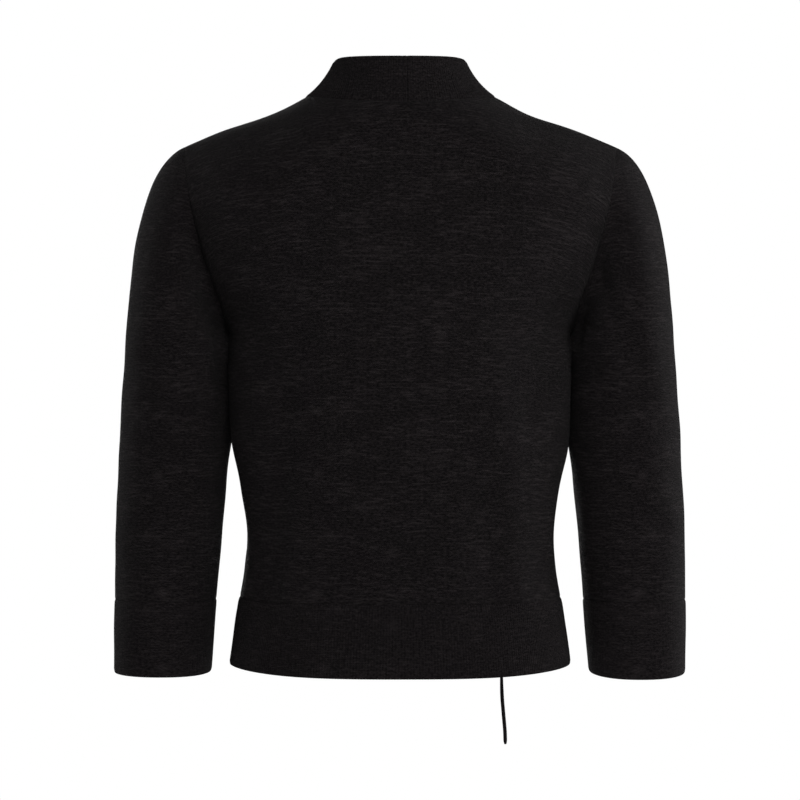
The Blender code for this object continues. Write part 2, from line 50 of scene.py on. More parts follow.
NECK_HALF = 0.083  # neck point of the shoulder, from the middle
SHOULDER_HALF = 0.187  # tip of the shoulder
SHOULDER_DROP = 0.0437
NAPE_DROP = 0.012
UNDERARM_Z = -0.205
HEM_SEAM_Z = -0.435
HEM_Z = -0.495
HEM_RISE = 0.004  # how far the hem's free edge rises towards the side seams
CUFF_SEAM_Z = -0.439
CUFF_Z = -0.502
SLEEVE_HEAD_Z = -0.225  # a sleeve's first level section
COLLAR_WIDTH = 0.040
BAND_PROUD = 0.0004  # how far the bands stand out from the panels
RIDGE_ROLL = 0.065  # how far below the shoulder line the cloth goes on turning over
RIDGE_SOFT = 0.030  # how softly that line rounds over across the neck
NECK_HOLLOW = 0.0044  # how far it dips beside the neck, where, and how widely
NECK_HOLLOW_X = 0.112
NECK_HOLLOW_WIDTH = 0.028
BODY_SQUARE = 2.4  # power of the curve of the level sections: 2 is an ellipse, and more is squarer
SLEEVE_SQUARE = 2.2
LAP_LIFT = 0.0047  # how far the left front stands off where it laps, and the run in which it rises
LAP_RUN = 0.045
SLOPE_STEP = 0.002  # a small step down a sleeve, to find its slope

BODY = {
    "z": (0.040, -0.012, -0.060, -0.095, -0.130, -0.160, -0.185, -0.205, -0.235, -0.264,
          -0.285, -0.307, -0.340, -0.381, -0.410, -0.435, -0.465, -0.495),
    "wide": (0.215, 0.213, 0.206, 0.198, 0.186, 0.171, 0.1555, 0.1480, 0.1485, 0.1472,
             0.1465, 0.1448, 0.1385, 0.1330, 0.1355, 0.1395, 0.1440, 0.1480),
    "back": (0.080, 0.088, 0.098, 0.104, 0.107, 0.107, 0.106, 0.104, 0.100, 0.097,
             0.0945, 0.092, 0.089, 0.088, 0.092, 0.098, 0.105, 0.112),
    "front": (0.058, 0.064, 0.074, 0.090, 0.108, 0.121, 0.128, 0.132, 0.134, 0.131,
              0.127, 0.121, 0.112, 0.105, 0.106, 0.108, 0.110, 0.112),
}
ARMHOLE = {
    "z": (-0.0437, -0.080, -0.115, -0.150, -0.185, -0.205),
    "x": (0.187, 0.1815, 0.1745, 0.165, 0.1530, 0.148),
}
FRONT_SEAM = {
    "z": (0.000, -0.020, -0.050, -0.100, -0.150, -0.200, -0.250, -0.300, -0.350, -0.400,
          -0.435, -0.465, -0.495),
    "x": (0.0830, 0.0815, 0.0775, 0.0685, 0.0575, 0.0435, 0.0275, 0.0095, -0.0105, -0.0325,
          -0.0455, -0.0500, -0.0520),
}
SLEEVE = {
    "z": (-0.225, -0.264, -0.290, -0.307, -0.334, -0.378, -0.420, -0.464, -0.502),
    "outer": (0.2392, 0.2431, 0.2453, 0.2462, 0.2475, 0.2495, 0.2501, 0.2507, 0.2509),
    "inner": (0.1493, 0.1483, 0.1478, 0.1493, 0.1520, 0.1561, 0.1597, 0.1635, 0.1665),
    "deep": (0.0570, 0.0545, 0.0525, 0.0515, 0.0498, 0.0470, 0.0450, 0.0430, 0.0422),
    "y": (-0.004, -0.014, -0.019, -0.021, -0.022, -0.023, -0.025, -0.027, -0.028),
}
SLEEVE_HEAD = {
    "angle": (0, 45, 90, 135, 165, 180),
    "out": (0.92, 0.92, 0.94, 0.80, 0.60, 0.50),
    "across": (0.00, 0.05, 0.10, 0.10, 0.05, 0.00),
    "up": (-0.40, -0.38, -0.30, 0.20, 0.70, 0.85),
    "reach": (0.150, 0.095, 0.045, 0.025, 0.012, 0.008),
    "settle": (0.176, 0.140, 0.085, 0.050, 0.030, 0.026),
}
NAPE_LEAN = (18, 6)  # degrees that the standing band leans in behind, at its root and its tip
SIDE_LEAN = (57, 22)  # and beside the neck
BAND_TURN = 0.04  # the height above the hem's seam in which the band's rows turn level
# How far the band stands up, rather than lying on the front.
COLLAR_STAND = {
    "z": (-0.120, -0.070, -0.030, -0.002),
    "share": (0.0, 0.25, 0.75, 1.0),
}

# Creases, as troughs along a line of places. Each row has its half width, its depth (below 0 a
# ridge) and the height of the roll that the cloth throws up beside it, in millimetres, and the line.
# A place is X and Z in metres on the body, and on a sleeve the angle round it (0 its outer side, 90
# its back) and Z. The first five of each piece are the solids' own folds.
CREASES = {
    "back": (
        (13, 3, 0, ((0.138, -0.196), (0.1, -0.262))),
        (14, 3.4, 0, ((-0.14, -0.19), (-0.112, -0.28))),
        (16, 2.4, 0, ((0.074, -0.33), (0.082, -0.425))),
        (15, 2, 0, ((-0.066, -0.345), (-0.078, -0.43))),
        (14, 1.6, 0, ((-0.03, -0.362), (0.028, -0.374))),
        # at the waist
        (12, 2.4, 0.4, ((0.087, -0.212), (0.093, -0.262), (0.098, -0.305))),
        (15, 5.6, 0.6, ((0.101, -0.322), (0.108, -0.37), (0.118, -0.436))),
        (13, -2.4, 0, ((-0.084, -0.24), (-0.091, -0.3), (-0.099, -0.36), (-0.102, -0.43))),
        (5, 0.7, 0.3, ((0.126, -0.335), (0.122, -0.385))),
        (4.8, 0.6, 0.3, ((-0.122, -0.352), (-0.119, -0.41))),
        (6, 0.6, 0.2, ((0.04, -0.388), (0.046, -0.431))),
        (5.5, 0.5, 0.2, ((-0.036, -0.398), (-0.034, -0.432))),
        # from the armholes
        (5, 0.9, 0.4, ((0.149, -0.206), (0.122, -0.231), (0.101, -0.24))),
        (5.2, 1, 0.4, ((-0.15, -0.203), (-0.128, -0.222), (-0.11, -0.228))),
        (3.6, 0.6, 0.3, ((0.146, -0.228), (0.13, -0.246))),
        (4, 0.7, 0.3, ((-0.146, -0.236), (-0.126, -0.262))),
        (4, 0.7, 0.2, ((0.161, -0.15), (0.151, -0.176))),
        (4.2, 0.8, 0.3, ((-0.164, -0.141), (-0.152, -0.172))),
        # puckers under the neck seam
        (1.4, 0.4, 0.3, ((0.0765, -0.006), (0.0735, -0.0142))),
        (1.2, 0.3, 0.2, ((0.069, -0.0072), (0.0672, -0.0128))),
        (1.3, 0.2, 0.2, ((0.056, -0.0098), (0.0556, -0.0146))),
        (1.4, 0.2, 0.1, ((0.024, -0.0132), (0.0246, -0.0178))),
        (1.3, 0.2, 0.2, ((-0.033, -0.0125), (-0.0338, -0.0176))),
        (1.3, 0.3, 0.2, ((-0.061, -0.009), (-0.06, -0.0152))),
        (1.2, 0.3, 0.2, ((-0.075, -0.0064), (-0.0732, -0.0118))),
    ),
    "front": (
        (13, 2.2, 0, ((0.118, -0.335), (-0.01, -0.415))),
        (11, 1.6, 0, ((0.122, -0.385), (0.01, -0.448))),
        (14, 2.6, 0, ((0.136, -0.215), (0.085, -0.255))),
        (13, 2.4, 0, ((-0.134, -0.21), (-0.092, -0.262))),
        (12, 1.8, 0, ((-0.12, -0.372), (-0.078, -0.42))),
        # drawn towards the tie
        (4.8, 0.9, 0.5, ((0.098, -0.318), (0.048, -0.362), (0.002, -0.392))),
        (5.2, 1.1, 0.6, ((0.112, -0.36), (0.066, -0.392), (0.018, -0.424))),
        (4, 0.6, 0.3, ((0.072, -0.305), (0.036, -0.345))),
        (4.2, 0.7, 0.4, ((0.124, -0.402), (0.08, -0.424))),
        (3.8, 0.8, 0.4, ((0.04, -0.4), (0.006, -0.426), (-0.018, -0.433))),
        # from the armhole
        (5, 1, 0.5, ((0.149, -0.205), (0.122, -0.222), (0.094, -0.226))),
        (3.8, 0.8, 0.3, ((0.152, -0.188), (0.136, -0.196))),
        (4.4, 0.8, 0.4, ((0.147, -0.232), (0.128, -0.256), (0.119, -0.276))),
        (4.2, 0.6, 0.3, ((0.16, -0.15), (0.146, -0.17))),
    ),
    "sleeve_left": (
        (11, 3, 0, ((128, -0.168), (66, -0.222))),
        (13, 2.6, 0, ((140, -0.262), (72, -0.308))),
        (10, 2.8, 0, ((300, -0.318), (236, -0.338))),
        (10, 2.2, 0, ((292, -0.352), (226, -0.344))),
        (14, 1.8, 0, ((104, -0.352), (58, -0.392))),
        # the dark valley along the armhole, and the wrinkles across it
        (9.5, 3, 0, ((112, -0.098), (122, -0.135), (134, -0.17), (150, -0.215), (158, -0.258))),
        (2.6, 0.9, 0.4, ((136, -0.148), (112, -0.153))),
        (2.4, 0.8, 0.4, ((140, -0.158), (116, -0.165))),
        (2.8, 0.7, 0.3, ((144, -0.176), (126, -0.184))),
        (4.5, 0.7, 0.3, ((100, -0.118), (84, -0.14))),
        # the elbow
        (4.2, 1, 0.5, ((284, -0.3), (250, -0.306), (222, -0.298))),
        (4.4, 1.2, 0.6, ((296, -0.334), (262, -0.33), (232, -0.324))),
        (3.8, 0.8, 0.4, ((276, -0.366), (246, -0.36))),
        (5, 0.8, 0.3, ((150, -0.318), (120, -0.336), (92, -0.34))),
        (5.2, 0.6, 0.3, ((64, -0.262), (40, -0.286))),
        (5, 1.2, 0.5, ((258, -0.16), (232, -0.186), (212, -0.196))),
        (4.4, 0.9, 0.4, ((244, -0.206), (214, -0.222))),
        (5, 0.6, 0.2, ((120, -0.398), (98, -0.42))),
    ),
    "sleeve_right": (
        (11, 3.6, 0, ((118, -0.15), (84, -0.232))),
        (14, 2.2, 0, ((132, -0.24), (58, -0.282))),
        (11, 2.6, 0, ((304, -0.308), (242, -0.33))),
        (10, 2.4, 0, ((286, -0.35), (230, -0.338))),
        (13, 2, 0, ((112, -0.33), (64, -0.372))),
        (7, 2.6, 0, ((106, -0.112), (122, -0.15), (140, -0.182), (156, -0.214))),
        (2.6, 0.6, 0.3, ((130, -0.166), (108, -0.158))),
        (3, 0.7, 0.3, ((146, -0.196), (122, -0.206))),
        (4.4, 1.1, 0.5, ((280, -0.292), (248, -0.3), (226, -0.292))),
        (4.2, 1, 0.5, ((294, -0.328), (258, -0.322), (236, -0.33))),
        (4, 0.9, 0.4, ((272, -0.372), (244, -0.362), (228, -0.366))),
        (4.8, 0.7, 0.3, ((154, -0.3), (128, -0.322), (104, -0.324))),
        (5, 0.6, 0.3, ((58, -0.318), (34, -0.336))),
        (5.2, 1.3, 0.5, ((256, -0.152), (228, -0.18), (210, -0.186))),
        (4.2, 0.8, 0.4, ((240, -0.2), (212, -0.214))),
        (5, 0.6, 0.2, ((98, -0.392), (76, -0.416))),
    ),
}
SLEEVE_ARC = 0.00083  # how far one degree round a sleeve reaches
ROLL_BESIDE = 1.7  # how far beside a crease its roll lies, and how wide it is, by its half width
ROLL_WIDE = 1.1
CLOTH_BUMPS = 0.034  # size and rise of the cloth's soft unevenness, and where its pattern starts
CLOTH_RISE = 0.0007
BUMPS_FROM = (1.7, 3.4, 5.1)

RIB_PITCH = 0.0022  # from rib to rib as they are counted, and how far they rise and fall
RIB_RELIEF = 0.00030
RIB_COLUMNS = 4  # points across one rib
# How far each kind of seam draws the cloth in, and from how far away.
NECK_SEAM = {"pull": 0.0008, "reach": 0.0014}
HEM_SEAM = {"pull": 0.0005, "reach": 0.0014}
CUFF_SEAM = {"pull": 0.0004, "reach": 0.0012}
ARM_SEAM = {"pull": 0.0001, "reach": 0.0030}
SIDE_SEAM = {"pull": 0.0002, "reach": 0.0018}
JOIN_SEAM = {"pull": 0.0008, "reach": 0.0007}
SHOULDER_PULL = 0.3  # how hard the shoulder seam pulls, beside the neck's
SEAM_TUCK = 0.0020  # how far a band or a sleeve runs in behind the piece it is sewn to
TUCK_DEPTH = 0.0014
TUCK_FALL = 0.03  # that run, as a share of the sleeve's head
SEAM_CALM = 0.012  # creases and unevenness die away this near the armhole
# Where the sleeves lie against the body, each swells a little to meet the other.
MEET = {"top": -0.175, "left": -0.288, "right": -0.300, "soft": 0.030, "swell": 0.0012,
        "wide": 0.014}
# How far the armhole's seam lies sunk between the body and the sleeve, behind and in front.
VALLEY = {"top": -0.085, "full": -0.145, "bottom": -0.207, "soft": 0.034,
          "deep": {"left": 0.0060, "right": 0.0052}, "body": 0.0034, "sleeve": 0.0170}
# Higher up, where the cloth runs smoothly from the shoulder into the sleeve, it is filled instead.
FILL = {"top": -0.048, "bottom": -0.135, "soft": 0.022, "high": 0.0026, "wide": 0.0062}
PIT = {"z": -0.215, "soft": 0.014, "swell": 0.0024}  # fullness right under the arm
BAND_JOIN_X = -0.0023  # where the neck bands are joined behind, and the stitching beside it
BAND_STITCH_X = -0.0060

# The cut of each piece laid flat: its cloth, its greatest width and length, and its area, in metres
# and square metres. Length runs down the garment, and along the neck and front band. A sleeve's and a
# cuff's width is all the way round.
CUTS = {
    "back": {"cloth": "knit", "width": 0.41, "length": 0.50, "area": 0.176},
    "front": {"cloth": "knit", "width": 0.25, "length": 0.51, "area": 0.0775},
    "sleeve": {"cloth": "knit", "width": 0.33, "length": 0.413, "area": 0.104},
    "cuff": {"cloth": "rib", "width": 0.283, "length": 0.066, "area": 0.0183},
    "hem_back": {"cloth": "rib", "width": 0.42, "length": 0.062, "area": 0.0252},
    "hem": {"cloth": "rib", "width": 0.267, "length": 0.061, "area": 0.0158},
    "collar": {"cloth": "rib", "width": 0.042, "length": 0.705, "area": 0.0294},
}

# The tie, a flat cord. The left one is turned by some degrees, and from a share of its length turns
# back to lie flat. The right one turns from one angle at its start to another at its end.
TIE_WIDTH = 0.0034
TIE_THICK = 0.0020
TIE_STEP = 0.6 * TIE_WIDTH  # from ring to ring
LEFT_TWIST = {"turn": 60, "from": 0.48, "over": 0.24}
RIGHT_TWIST = (30, 90)
END_FULLNESS = (0.55, 0.9)  # of the last two rings at each end
KNOT = (-0.0938, -0.0985, -0.4585)
KNOT_HALF = (0.0042, 0.0036, 0.0042)
KNOT_CORD = (1.3 * TIE_THICK, 1.1 * TIE_THICK)
KNOT_STEPS = 60
LEAD_LEFT = ((-0.0873, -0.0965, -0.4453), (-0.0896, -0.0957, -0.4456), (-0.0918, -0.0955, -0.4472),
             (-0.0932, -0.0967, -0.4500), (-0.0937, -0.0981, -0.4540))
LEAD_RIGHT = ((-0.1126, -0.0781, -0.4539), (-0.1138, -0.0799, -0.4540),
              (-0.1139, -0.0825, -0.4544), (-0.1125, -0.0852, -0.4550),
              (-0.1095, -0.0880, -0.4558), (-0.1045, -0.0920, -0.4572),
              (-0.0979, -0.0968, -0.4580))
TAIL_LONG = ((-0.0936, -0.0992, -0.4630), (-0.0935, -0.1000, -0.4665), (-0.0932, -0.1013, -0.4740),
             (-0.0926, -0.1023, -0.4850), (-0.0922, -0.1027, -0.4960), (-0.0922, -0.1028, -0.5120),
             (-0.0927, -0.1028, -0.5320), (-0.0941, -0.1028, -0.5500), (-0.0953, -0.1028, -0.5640),
             (-0.0957, -0.1028, -0.5763))
TAIL_SHORT = ((-0.0965, -0.0990, -0.4621), (-0.0983, -0.0993, -0.4650), (-0.1000, -0.0990, -0.4700),
              (-0.1010, -0.0983, -0.4775), (-0.1014, -0.0978, -0.4860))


# ---- the form


def reader(table, key):
    """A smooth curve through a table's rows, for each of its other columns."""
    order = np.argsort(table[key])
    at = np.array(table[key], float)[order]
    columns = {}
    for name in table:
        if name != key:
            value = np.array(table[name], float)[order]
            columns[name] = (value, np.gradient(value, at))

    def read(name, place):
        value, slope = columns[name]
        place = np.clip(np.asarray(place, float), at[0], at[-1])
        i = np.clip(np.searchsorted(at, place, side="right") - 1, 0, len(at) - 2)
        span = at[i + 1] - at[i]
        t = (place - at[i]) / span
        rise = value[i] * (1 + 2 * t) * (1 - t) ** 2 + value[i + 1] * t * t * (3 - 2 * t)
        return rise + span * (slope[i] * t * (1 - t) ** 2 - slope[i + 1] * t * t * (1 - t))

    return read


body = reader(BODY, "z")
armhole = reader(ARMHOLE, "z")
front_seam = reader(FRONT_SEAM, "z")
sleeve = reader(SLEEVE, "z")
sleeve_head = reader(SLEEVE_HEAD, "angle")
collar_stand = reader(COLLAR_STAND, "z")


def mix(a, b, share):
    return a + (b - a) * share


def ease(t):
    t = np.clip(t, 0.0, 1.0)
    return t * t * (3 - 2 * t)


TINY = 1e-12  # keeps a length that is divided by above nothing
MIRROR = np.array([-1.0, 1.0, 1.0])


def stack(x, y, z):
    return np.stack(np.broadcast_arrays(x, y, z), axis=-1)


def soft_distance(x):
    return np.hypot(x, RIDGE_SOFT)


RIDGE_SLOPE = SHOULDER_DROP / (soft_distance(SHOULDER_HALF) - soft_distance(NECK_HALF))


def ridge(x):
    """Height of the shoulder line, hollow beside the neck, and carried on across it."""
    hollow = NECK_HOLLOW * np.exp(-(((np.abs(x) - NECK_HOLLOW_X) / NECK_HOLLOW_WIDTH) ** 2))
    return RIDGE_SLOPE * (soft_distance(NECK_HALF) - soft_distance(x)) - hollow


def lap(x, z):
    """How far the left front stands off the form, where the right one lies under it."""
    under_edge = -front_seam("x", z) + COLLAR_WIDTH
    return LAP_LIFT * ease((under_edge + LAP_RUN - x) / LAP_RUN)


def depth(x, z, side):
    """The form's Y at a place, behind (side "back") or in front."""
    over = np.maximum(1 - (np.abs(x) / body("wide", z)) ** BODY_SQUARE, 0.0) ** (1 / BODY_SQUARE)
    drop = np.clip((ridge(x) - z) / RIDGE_ROLL, 0.0, 1.0)
    return body(side, z) * over * np.sqrt(1 - (1 - drop) ** 2)


def on_back(x, z):
    return stack(x, depth(x, z, "back"), z)


def on_front(x, z, over):
    """A place on the fronts' form, as a left one. The left front climbs over the right."""
    return stack(x, -depth(x, z, "front") - (lap(x, z) if over else 0.0), z)


def neck_x(share):
    return NECK_HALF * round_share(share)


def neck_z(x):
    return mix(-NAPE_DROP, ridge(NECK_HALF), (x / NECK_HALF) ** 2)


def side_x(z):
    """Where a panel ends at the side: the armhole above the underarm, the side seam below."""
    return np.where(z > UNDERARM_Z, armhole("x", z), body("wide", z))


def height(top, fall):
    """Height on a panel: fall 0 is its top, 1 the underarm and 2 the hem seam."""
    return np.where(fall <= 1, mix(top, UNDERARM_Z, fall), mix(UNDERARM_Z, HEM_SEAM_Z, fall - 1))


def round_share(u):
    return np.sin(math.pi / 2 * u)


def back_place(u, fall):
    """The back panel: u runs from -1 to 1 between the sides."""
    half = np.abs(u)
    at_neck = half <= 0.5
    top_x = np.where(
        at_neck, neck_x(np.minimum(2 * half, 1)), mix(NECK_HALF, SHOULDER_HALF, 2 * half - 1)
    )
    top_z = np.where(at_neck, neck_z(top_x), ridge(top_x))
    side = side_x(height(-SHOULDER_DROP, fall))
    x = side * mix(top_x / SHOULDER_HALF, round_share(half), ease(fall))
    return on_back(np.sign(u) * x, height(top_z, fall))


def front_place(u, fall, over):
    """A front panel, as the left one: u is 0 at the band's seam and 1 at the side."""
    top_x = mix(NECK_HALF, SHOULDER_HALF, u)
    side = side_x(height(-SHOULDER_DROP, fall))
    share = mix(u, round_share(u), ease(fall))
    x = mix(front_seam("x", height(0.0, fall)), side, share)
    return on_front(x, height(ridge(top_x), fall), over)


def hem_height(share, v):
    """Height in the hem band, v 0 at its seam, for a share of the way out to the side seam."""
    return mix(HEM_SEAM_Z, HEM_Z + HEM_RISE * share ** 4, v)


def hem_back_place(u, v):
    z = hem_height(round_share(np.abs(u)), v)
    return on_back(body("wide", z) * round_share(u), z)


def hem_front_place(u, v, over):
    z = hem_height(round_share(u), v)
    return on_front(mix(front_seam("x", z), body("wide", z), round_share(u)), z, over)


def sleeve_section(angle, z):
    """A level section of a sleeve, as a left one: angle 0 is its outer side, 90 its back."""
    wide = (sleeve("outer", z) - sleeve("inner", z)) / 2
    middle = (sleeve("outer", z) + sleeve("inner", z)) / 2
    c, s = np.cos(np.radians(angle)), np.sin(np.radians(angle))
    power = 2 / SLEEVE_SQUARE
    return stack(
        middle + wide * np.sign(c) * np.abs(c) ** power,
        sleeve("y", z) + sleeve("deep", z) * np.sign(s) * np.abs(s) ** power,
        z,
    )


def armhole_place(angle, over):
    """The armhole's edge, by the angle round it: 0 at the shoulder tip, 90 behind, 180 below."""
    around = 180 * (1 - np.abs(1 - (angle % 360) / 180))
    fall = (1 - np.cos(np.radians(around))) / 2
    behind = back_place(np.ones_like(fall), fall)
    ahead = front_place(np.ones_like(fall), fall, over)
    return np.where((angle % 360 <= 180)[..., None], behind, ahead)


def sleeve_place(angle, fall, over):
    """A sleeve, as a left one: fall 0 is the armhole, 1 its first level section, 2 the cuff."""
    around = 180 * (1 - np.abs(1 - (angle % 360) / 180))
    side = np.where(angle % 360 <= 180, 1, -1)
    away = stack(
        sleeve_head("out", around), side * sleeve_head("across", around),
        sleeve_head("up", around),
    )
    away /= np.linalg.norm(away, axis=-1, keepdims=True)
    head_z = SLEEVE_HEAD_Z * np.ones_like(angle)
    start, end = armhole_place(angle, over), sleeve_section(angle, head_z)
    below = sleeve_section(angle, head_z - SLOPE_STEP) - end
    reach = sleeve_head("reach", around)[..., None]
    settle = sleeve_head("settle", around)[..., None]
    t = np.clip(fall, 0, 1)[..., None]
    head = start * ((1 + 2 * t) * (1 - t) ** 2) + end * (t * t * (3 - 2 * t))
    head += away * (reach * t * (1 - t) ** 2) - below * (settle / SLOPE_STEP * t * t * (1 - t))
    head += away * (np.minimum(fall, 0) * SEAM_TUCK / TUCK_FALL)[..., None]
    level = sleeve_section(angle, mix(SLEEVE_HEAD_Z, CUFF_SEAM_Z, np.maximum(fall - 1, 0)))
    return np.where((fall <= 1)[..., None], head, level)


def band_seam(run, over):
    """The neck and front band's seam, as a left one: run 0 to 1 is the back neck, 1 to 3 the
    front panel and 3 to 4 the hem."""
    x = neck_x(np.minimum(run, 1))
    nape = on_back(x, neck_z(x))
    zero = np.zeros_like(run)
    front = front_place(zero, np.clip(run - 1, 0, 2), over)
    hem = hem_front_place(zero, np.clip(run - 3, 0, 1), over)
    run = run[..., None]
    return np.where(run <= 1, nape, np.where(run <= 3, front, hem))


def stand_place(run, across):
    """How the standing band rises from the neck seam, steeper towards its free edge."""
    t = np.minimum(run, 1)
    seam = band_seam(t, False)
    turn = math.pi / 2 * t
    root, tip = mix(NAPE_LEAN[0], SIDE_LEAN[0], ease(t)), mix(NAPE_LEAN[1], SIDE_LEAN[1], ease(t))
    lean = np.radians(mix(root, tip, across / COLLAR_WIDTH / 2))
    level = np.sin(lean) * across
    return seam + stack(-level * np.sin(turn), -level * np.cos(turn), np.cos(lean) * across)


def band_place(run, w, over):
    """A place on the left band, w 0 at its seam and 1 at its free edge."""
    across = COLLAR_WIDTH * w
    seam = band_seam(np.maximum(run, 1), over)
    step = 0.02
    ahead, behind = np.clip(run + step, 1, 4), np.clip(run - step, 1, 4)
    along = band_seam(ahead, over) - band_seam(behind, over)
    along /= np.maximum(np.hypot(along[..., 0], along[..., 2]), TINY)[..., None]
    upright = 1 - ease((HEM_SEAM_Z + BAND_TURN - seam[..., 2]) / BAND_TURN)
    lying = on_front(
        seam[..., 0] + along[..., 2] * across, seam[..., 2] - along[..., 0] * across * upright, over
    )
    one = np.ones_like(run)
    rising = seam + stand_place(one, across) - band_seam(one, over)
    stand = collar_stand("share", seam[..., 2])[..., None]
    return np.where((run <= 1)[..., None], stand_place(run, across), mix(lying, rising, stand))


# ---- creases, ribs and seams


def crease_field(creases, across, z, scale=1.0):
    """How far the creases move the cloth out (above 0) or in, at each place."""
    total = np.zeros_like(z)
    for *sizes, line in creases:
        wide, deep, roll = (size / 1000 for size in sizes)
        places = [np.array([place[0] * scale, place[1]]) for place in line]
        nearest = np.full_like(z, np.inf)
        beside = np.zeros_like(z)
        for a, b in zip(places, places[1:]):
            run = b - a
            here = np.stack([across * scale - a[0], z - a[1]], axis=-1)
            share = np.clip(here @ run / (run @ run), 0, 1)
            away = here - share[..., None] * run
            far = np.hypot(away[..., 0], away[..., 1])
            side = (here[..., 0] * run[1] - here[..., 1] * run[0]) / math.hypot(*run)
            closer = far < nearest
            nearest = np.where(closer, far, nearest)
            beside = np.where(closer, side, beside)
        total -= deep * np.exp(-((nearest / wide) ** 2))
        past_end = np.sqrt(np.maximum(nearest ** 2 - beside ** 2, 0))
        rolled = np.hypot(beside - ROLL_BESIDE * wide, past_end)
        total += roll * np.exp(-((rolled / (ROLL_WIDE * wide)) ** 2))
    return total


def body_creases(points, piece, way=1):
    return crease_field(CREASES[piece], way * points[..., 0], points[..., 2])


def uneven(points, mirrored=False):
    """The cloth's soft unevenness, which runs on across the seams."""
    flat = (points * MIRROR if mirrored else points).reshape(-1, 3)
    values = [noise.noise(Vector(p) / CLOTH_BUMPS + Vector(BUMPS_FROM)) for p in flat]
    return CLOTH_RISE * np.array(values).reshape(points.shape[:-1])


def pulled(distance, seam):
    """How far a seam draws the cloth in, by the distance from it."""
    return -seam["pull"] * np.exp(-((distance / seam["reach"]) ** 2))


def tucked(beyond):
    """How far a sewn edge lies inside, by how far it runs in behind the seam."""
    return -TUCK_DEPTH * ease(beyond / SEAM_TUCK)


def meeting(z, distance, left):
    """How far the side of the body, or of a sleeve, swells to meet the other."""
    bottom = np.where(left, MEET["left"], MEET["right"])
    swell = ease((MEET["top"] - z) / MEET["soft"]) * ease((z - bottom) / MEET["soft"] + 1)
    swell = MEET["swell"] * swell + PIT["swell"] * np.exp(-(((z - PIT["z"]) / PIT["soft"]) ** 2))
    return swell * np.exp(-((distance / MEET["wide"]) ** 2))


def valley(z, distance, side, wide):
    """How far the cloth beside the armhole is sunk, by the distance from its seam."""
    along = ease((VALLEY["top"] - z) / (VALLEY["top"] - VALLEY["full"]))
    along *= ease((z - VALLEY["bottom"]) / VALLEY["soft"])
    deep = np.where(side, VALLEY["deep"]["left"], VALLEY["deep"]["right"])
    above = ease((FILL["top"] - z) / FILL["soft"]) * ease((z - FILL["bottom"]) / FILL["soft"])
    filled = FILL["high"] * above * np.exp(-distance / FILL["wide"])
    return deep * along * np.exp(-((distance / wide) ** 2)) - filled


def arc_lengths(points, axis):
    """Length along each line of a grid of points, from its first point."""
    steps = np.linalg.norm(np.diff(points, axis=axis), axis=-1)
    total = np.cumsum(steps, axis=axis)
    return np.concatenate([np.zeros_like(np.take(total, [0], axis)), total], axis=axis)


def edge_distance(points, axis, end):
    """Distance of each point of a grid from one of its edges, along the grid's lines."""
    along = arc_lengths(points, axis)
    return along if end == 0 else np.take(along, [-1], axis) - along


def side_distance(points):
    """Distance from the nearer of a grid's two sides."""
    return np.minimum(edge_distance(points, 0, 0), edge_distance(points, 0, 1))


# ---- materials


def colour(code):
    """An sRGB hex colour as linear red, green, blue and alpha."""
    parts = [int(code[i:i + 2], 16) / 255 for i in (1, 3, 5)]
    linear = [p / 12.92 if p <= 0.04045 else ((p + 0.055) / 1.055) ** 2.4 for p in parts]
    return (*linear, 1.0)


def add(tree, kind, settings=None, links=None):
    """A node with its settings and its links: settings name properties, or inputs by number or
    name; links name inputs and the sockets that feed them."""
    node = tree.nodes.new(kind)
    for key, value in (settings or {}).items():
        if isinstance(key, str) and hasattr(node, key):
            setattr(node, key, value)
        else:
            node.inputs[key].default_value = value
    for key, socket in (links or {}).items():
        tree.links.new(socket, node.inputs[key])
    return node


def empty_material(name):
    material = bpy.data.materials.new(name)
    material.use_nodes = True
    tree = material.node_tree
    tree.nodes.clear()
    return material, tree


# One knit stitch, its width and height. They are guessed: at 0.87 mm a pixel the photo shows no
# single stitches.
WALE = 0.0019
COURSE = 0.0015
STITCH_SLANT = 1.1  # how many rows a stitch's leg slants over in one stitch's width
ROW_WAVE = 0.5  # how strong the waves of the rows are, beside the roundness of the legs
# The yarn's unevenness: slubs, patches where there are more of them, and fibres, each by its length
# along the rows and its height. Real fibres are far too fine to show, so these are coarser.
GRAINS = {
    "slub": {"size": (0.013, 0.0022), "detail": 3.0, "rough": 0.55},
    "patch": {"size": (0.055, 0.022), "detail": 2.0, "rough": 0.5},
    "fibre": {"size": (0.0028, 0.0014), "detail": 2.0, "rough": 0.5},
}
PATCH_SHARE = 0.40  # how much the patches count, beside the slubs
SLUB_FROM, SLUB_FULL = 0.69, 1.03  # from where the two together are pale, and where palest
SLUB_RELIEF = 1.6  # how far a slub stands out, beside a stitch's leg
FUZZ_FROM, FUZZ_FULL = 0.36, 0.68  # the same for the fibres, and how pale they get
FUZZ = 0.52
# The cloths of the record's slots: wall, colour, how pale the slubs are, and depth of the stitches.
CLOTHS = {
    "knit": {"name": "merino_jersey", "wall": 0.0014, "dark": "#0C0A0B", "slubs": 0.9,
             "stitch": 0.00030},
    # The rib's dark is a step paler than the jersey's, though it is the same yarn: painted light that
    # makes up for the shade its own ribs throw.
    "rib": {"name": "merino_rib", "wall": 0.0019, "dark": "#0D0B0C", "slubs": 0.6,
            "stitch": 0.00022},
}
CORD_DARK = "#0C0B0B"
PALE = "#2A2627"  # the colour of slubs and fuzz
CORD_GRAINS = 900.0  # grains a metre, coarser than real fibres, and the depth of their relief
CORD_RELIEF = 0.0003
PAPER = "#D8D8D8"


